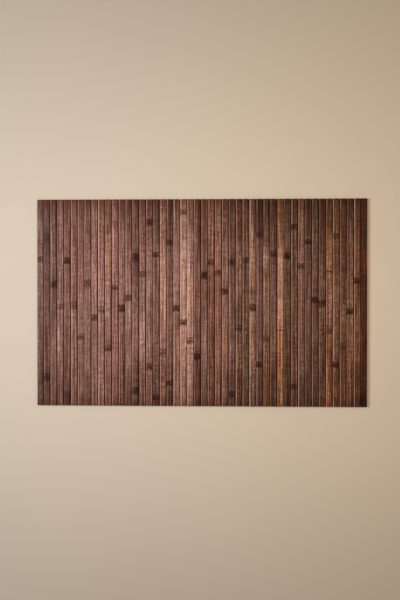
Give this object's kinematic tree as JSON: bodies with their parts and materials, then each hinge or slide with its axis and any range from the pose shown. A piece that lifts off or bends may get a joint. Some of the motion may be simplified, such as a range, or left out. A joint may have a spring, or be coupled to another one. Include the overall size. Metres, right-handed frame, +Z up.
{
  "type": "roll-up bamboo slat mat",
  "caption": "Roll-up floor mat of stained bamboo slats laid side by side on a flexible non-slip backing.",
  "frame": {"origin": "on the floor, under the middle of the flat mat", "axes": "+X across the slats, +Y along the slats, +Z up from the floor"},
  "size_m": [0.797, 0.5, 0.0063],
  "materials": {
    "bamboo_plum": "dark plum-brown stain, satin lacquer",
    "bamboo_rose": "rosy brown stain, satin lacquer",
    "bamboo_caramel": "light caramel stain, satin lacquer",
    "bamboo_russet": "russet stain, satin lacquer",
    "bamboo_umber": "mid brown stain, satin lacquer",
    "bamboo_olive": "dark olive-brown stain, satin lacquer",
    "scrim": "dark open-weave cloth, soaked with glue",
    "nonslip": "matt soft foam"
  },
  "bodies": {
    "link_01": {"slat_01": "bamboo_plum", "woven_scrim": "scrim", "nonslip_sheet": "nonslip"},
    "link_02": {"slat_02": "bamboo_plum"},
    "link_03": {"slat_03": "bamboo_plum"},
    "link_04": {"slat_04": "bamboo_rose"},
    "link_05": {"slat_05": "bamboo_rose"},
    "link_06": {"slat_06": "bamboo_umber"},
    "link_07": {"slat_07": "bamboo_rose"},
    "link_08": {"slat_08": "bamboo_rose"},
    "link_09": {"slat_09": "bamboo_rose"},
    "link_10": {"slat_10": "bamboo_caramel"},
    "link_11": {"slat_11": "bamboo_caramel"},
    "link_12": {"slat_12": "bamboo_rose"},
    "link_13": {"slat_13": "bamboo_rose"},
    "link_14": {"slat_14": "bamboo_rose"},
    "link_15": {"slat_15": "bamboo_plum"},
    "link_16": {"slat_16": "bamboo_rose"},
    "link_17": {"slat_17": "bamboo_rose"},
    "link_18": {"slat_18": "bamboo_umber"},
    "link_19": {"slat_19": "bamboo_caramel"},
    "link_20": {"slat_20": "bamboo_plum"},
    "link_21": {"slat_21": "bamboo_umber"},
    "link_22": {"slat_22": "bamboo_caramel"},
    "link_23": {"slat_23": "bamboo_caramel"},
    "link_24": {"slat_24": "bamboo_russet"},
    "link_25": {"slat_25": "bamboo_rose"},
    "link_26": {"slat_26": "bamboo_russet"},
    "link_27": {"slat_27": "bamboo_russet"},
    "link_28": {"slat_28": "bamboo_olive"},
    "link_29": {"slat_29": "bamboo_plum"},
    "link_30": {"slat_30": "bamboo_umber"},
    "link_31": {"slat_31": "bamboo_olive"},
    "link_32": {"slat_32": "bamboo_umber"},
    "link_33": {"slat_33": "bamboo_plum"},
    "link_34": {"slat_34": "bamboo_umber"},
    "link_35": {"slat_35": "bamboo_plum"},
    "link_36": {"slat_36": "bamboo_russet"},
    "link_37": {"slat_37": "bamboo_olive"},
    "link_38": {"slat_38": "bamboo_umber"},
    "link_39": {"slat_39": "bamboo_rose"},
    "link_40": {"slat_40": "bamboo_plum"},
    "link_41": {"slat_41": "bamboo_olive"},
    "link_42": {"slat_42": "bamboo_olive"},
    "link_43": {"slat_43": "bamboo_russet"},
    "link_44": {"slat_44": "bamboo_umber"},
    "link_45": {"slat_45": "bamboo_umber"},
    "link_46": {"slat_46": "bamboo_umber"},
    "link_47": {"slat_47": "bamboo_umber"},
    "link_48": {"slat_48": "bamboo_plum"}
  },
  "joints": [
    {"name": "bend_01", "type": "hinge", "parent": "link_01", "child": "link_02", "pos_m": [-0.38448, 0, 0.0016], "axis": [0, -1, 0], "range_deg": [0, 12.32], "deforming": ["woven_scrim", "nonslip_sheet"]},
    {"name": "bend_02", "type": "hinge", "parent": "link_02", "child": "link_03", "pos_m": [-0.36781, 0, 0.0016], "axis": [0, -1, 0], "range_deg": [0, 12.36]},
    {"name": "bend_03", "type": "hinge", "parent": "link_03", "child": "link_04", "pos_m": [-0.35114, 0, 0.0016], "axis": [0, -1, 0], "range_deg": [0, 12.41]},
    {"name": "bend_04", "type": "hinge", "parent": "link_04", "child": "link_05", "pos_m": [-0.33447, 0, 0.0016], "axis": [0, -1, 0], "range_deg": [0, 12.45]},
    {"name": "bend_05", "type": "hinge", "parent": "link_05", "child": "link_06", "pos_m": [-0.3178, 0, 0.0016], "axis": [0, -1, 0], "range_deg": [0, 12.5]},
    {"name": "bend_06", "type": "hinge", "parent": "link_06", "child": "link_07", "pos_m": [-0.30113, 0, 0.0016], "axis": [0, -1, 0], "range_deg": [0, 12.54]},
    {"name": "bend_07", "type": "hinge", "parent": "link_07", "child": "link_08", "pos_m": [-0.28446, 0, 0.0016], "axis": [0, -1, 0], "range_deg": [0, 12.59]},
    {"name": "bend_08", "type": "hinge", "parent": "link_08", "child": "link_09", "pos_m": [-0.26779, 0, 0.0016], "axis": [0, -1, 0], "range_deg": [0, 12.64]},
    {"name": "bend_09", "type": "hinge", "parent": "link_09", "child": "link_10", "pos_m": [-0.25112, 0, 0.0016], "axis": [0, -1, 0], "range_deg": [0, 12.68]},
    {"name": "bend_10", "type": "hinge", "parent": "link_10", "child": "link_11", "pos_m": [-0.23445, 0, 0.0016], "axis": [0, -1, 0], "range_deg": [0, 12.73]},
    {"name": "bend_11", "type": "hinge", "parent": "link_11", "child": "link_12", "pos_m": [-0.21778, 0, 0.0016], "axis": [0, -1, 0], "range_deg": [0, 12.78]},
    {"name": "bend_12", "type": "hinge", "parent": "link_12", "child": "link_13", "pos_m": [-0.20111, 0, 0.0016], "axis": [0, -1, 0], "range_deg": [0, 12.83]},
    {"name": "bend_13", "type": "hinge", "parent": "link_13", "child": "link_14", "pos_m": [-0.18444, 0, 0.0016], "axis": [0, -1, 0], "range_deg": [0, 12.88]},
    {"name": "bend_14", "type": "hinge", "parent": "link_14", "child": "link_15", "pos_m": [-0.16777, 0, 0.0016], "axis": [0, -1, 0], "range_deg": [0, 12.93]},
    {"name": "bend_15", "type": "hinge", "parent": "link_15", "child": "link_16", "pos_m": [-0.1511, 0, 0.0016], "axis": [0, -1, 0], "range_deg": [0, 12.98]},
    {"name": "bend_16", "type": "hinge", "parent": "link_16", "child": "link_17", "pos_m": [-0.13443, 0, 0.0016], "axis": [0, -1, 0], "range_deg": [0, 13.03]},
    {"name": "bend_17", "type": "hinge", "parent": "link_17", "child": "link_18", "pos_m": [-0.11776, 0, 0.0016], "axis": [0, -1, 0], "range_deg": [0, 13.08]},
    {"name": "bend_18", "type": "hinge", "parent": "link_18", "child": "link_19", "pos_m": [-0.10109, 0, 0.0016], "axis": [0, -1, 0], "range_deg": [0, 13.13]},
    {"name": "bend_19", "type": "hinge", "parent": "link_19", "child": "link_20", "pos_m": [-0.08442, 0, 0.0016], "axis": [0, -1, 0], "range_deg": [0, 13.19]},
    {"name": "bend_20", "type": "hinge", "parent": "link_20", "child": "link_21", "pos_m": [-0.06775, 0, 0.0016], "axis": [0, -1, 0], "range_deg": [0, 13.24]},
    {"name": "bend_21", "type": "hinge", "parent": "link_21", "child": "link_22", "pos_m": [-0.05108, 0, 0.0016], "axis": [0, -1, 0], "range_deg": [0, 13.3]},
    {"name": "bend_22", "type": "hinge", "parent": "link_22", "child": "link_23", "pos_m": [-0.03441, 0, 0.0016], "axis": [0, -1, 0], "range_deg": [0, 13.35]},
    {"name": "bend_23", "type": "hinge", "parent": "link_23", "child": "link_24", "pos_m": [-0.01774, 0, 0.0016], "axis": [0, -1, 0], "range_deg": [0, 13.41]},
    {"name": "bend_24", "type": "hinge", "parent": "link_24", "child": "link_25", "pos_m": [-0.00107, 0, 0.0016], "axis": [0, -1, 0], "range_deg": [0, 13.46]},
    {"name": "bend_25", "type": "hinge", "parent": "link_25", "child": "link_26", "pos_m": [0.0156, 0, 0.0016], "axis": [0, -1, 0], "range_deg": [0, 13.52]},
    {"name": "bend_26", "type": "hinge", "parent": "link_26", "child": "link_27", "pos_m": [0.03227, 0, 0.0016], "axis": [0, -1, 0], "range_deg": [0, 13.58]},
    {"name": "bend_27", "type": "hinge", "parent": "link_27", "child": "link_28", "pos_m": [0.04894, 0, 0.0016], "axis": [0, -1, 0], "range_deg": [0, 13.64]},
    {"name": "bend_28", "type": "hinge", "parent": "link_28", "child": "link_29", "pos_m": [0.06561, 0, 0.0016], "axis": [0, -1, 0], "range_deg": [0, 13.7]},
    {"name": "bend_29", "type": "hinge", "parent": "link_29", "child": "link_30", "pos_m": [0.08228, 0, 0.0016], "axis": [0, -1, 0], "range_deg": [0, 13.76]},
    {"name": "bend_30", "type": "hinge", "parent": "link_30", "child": "link_31", "pos_m": [0.09895, 0, 0.0016], "axis": [0, -1, 0], "range_deg": [0, 13.82]},
    {"name": "bend_31", "type": "hinge", "parent": "link_31", "child": "link_32", "pos_m": [0.11562, 0, 0.0016], "axis": [0, -1, 0], "range_deg": [0, 13.88]},
    {"name": "bend_32", "type": "hinge", "parent": "link_32", "child": "link_33", "pos_m": [0.13229, 0, 0.0016], "axis": [0, -1, 0], "range_deg": [0, 13.94]},
    {"name": "bend_33", "type": "hinge", "parent": "link_33", "child": "link_34", "pos_m": [0.14896, 0, 0.0016], "axis": [0, -1, 0], "range_deg": [0, 14.01]},
    {"name": "bend_34", "type": "hinge", "parent": "link_34", "child": "link_35", "pos_m": [0.16563, 0, 0.0016], "axis": [0, -1, 0], "range_deg": [0, 14.07]},
    {"name": "bend_35", "type": "hinge", "parent": "link_35", "child": "link_36", "pos_m": [0.1823, 0, 0.0016], "axis": [0, -1, 0], "range_deg": [0, 14.14]},
    {"name": "bend_36", "type": "hinge", "parent": "link_36", "child": "link_37", "pos_m": [0.19897, 0, 0.0016], "axis": [0, -1, 0], "range_deg": [0, 14.2]},
    {"name": "bend_37", "type": "hinge", "parent": "link_37", "child": "link_38", "pos_m": [0.21564, 0, 0.0016], "axis": [0, -1, 0], "range_deg": [0, 14.27]},
    {"name": "bend_38", "type": "hinge", "parent": "link_38", "child": "link_39", "pos_m": [0.23231, 0, 0.0016], "axis": [0, -1, 0], "range_deg": [0, 14.34]},
    {"name": "bend_39", "type": "hinge", "parent": "link_39", "child": "link_40", "pos_m": [0.24898, 0, 0.0016], "axis": [0, -1, 0], "range_deg": [0, 14.41]},
    {"name": "bend_40", "type": "hinge", "parent": "link_40", "child": "link_41", "pos_m": [0.26565, 0, 0.0016], "axis": [0, -1, 0], "range_deg": [0, 14.48]},
    {"name": "bend_41", "type": "hinge", "parent": "link_41", "child": "link_42", "pos_m": [0.28232, 0, 0.0016], "axis": [0, -1, 0], "range_deg": [0, 14.55]},
    {"name": "bend_42", "type": "hinge", "parent": "link_42", "child": "link_43", "pos_m": [0.29899, 0, 0.0016], "axis": [0, -1, 0], "range_deg": [0, 14.62]},
    {"name": "bend_43", "type": "hinge", "parent": "link_43", "child": "link_44", "pos_m": [0.31566, 0, 0.0016], "axis": [0, -1, 0], "range_deg": [0, 14.69]},
    {"name": "bend_44", "type": "hinge", "parent": "link_44", "child": "link_45", "pos_m": [0.33233, 0, 0.0016], "axis": [0, -1, 0], "range_deg": [0, 14.77]},
    {"name": "bend_45", "type": "hinge", "parent": "link_45", "child": "link_46", "pos_m": [0.349, 0, 0.0016], "axis": [0, -1, 0], "range_deg": [0, 14.84]},
    {"name": "bend_46", "type": "hinge", "parent": "link_46", "child": "link_47", "pos_m": [0.36567, 0, 0.0016], "axis": [0, -1, 0], "range_deg": [0, 14.92]},
    {"name": "bend_47", "type": "hinge", "parent": "link_47", "child": "link_48", "pos_m": [0.38234, 0, 0.0016], "axis": [0, -1, 0], "range_deg": [0, 15]}
  ]
}
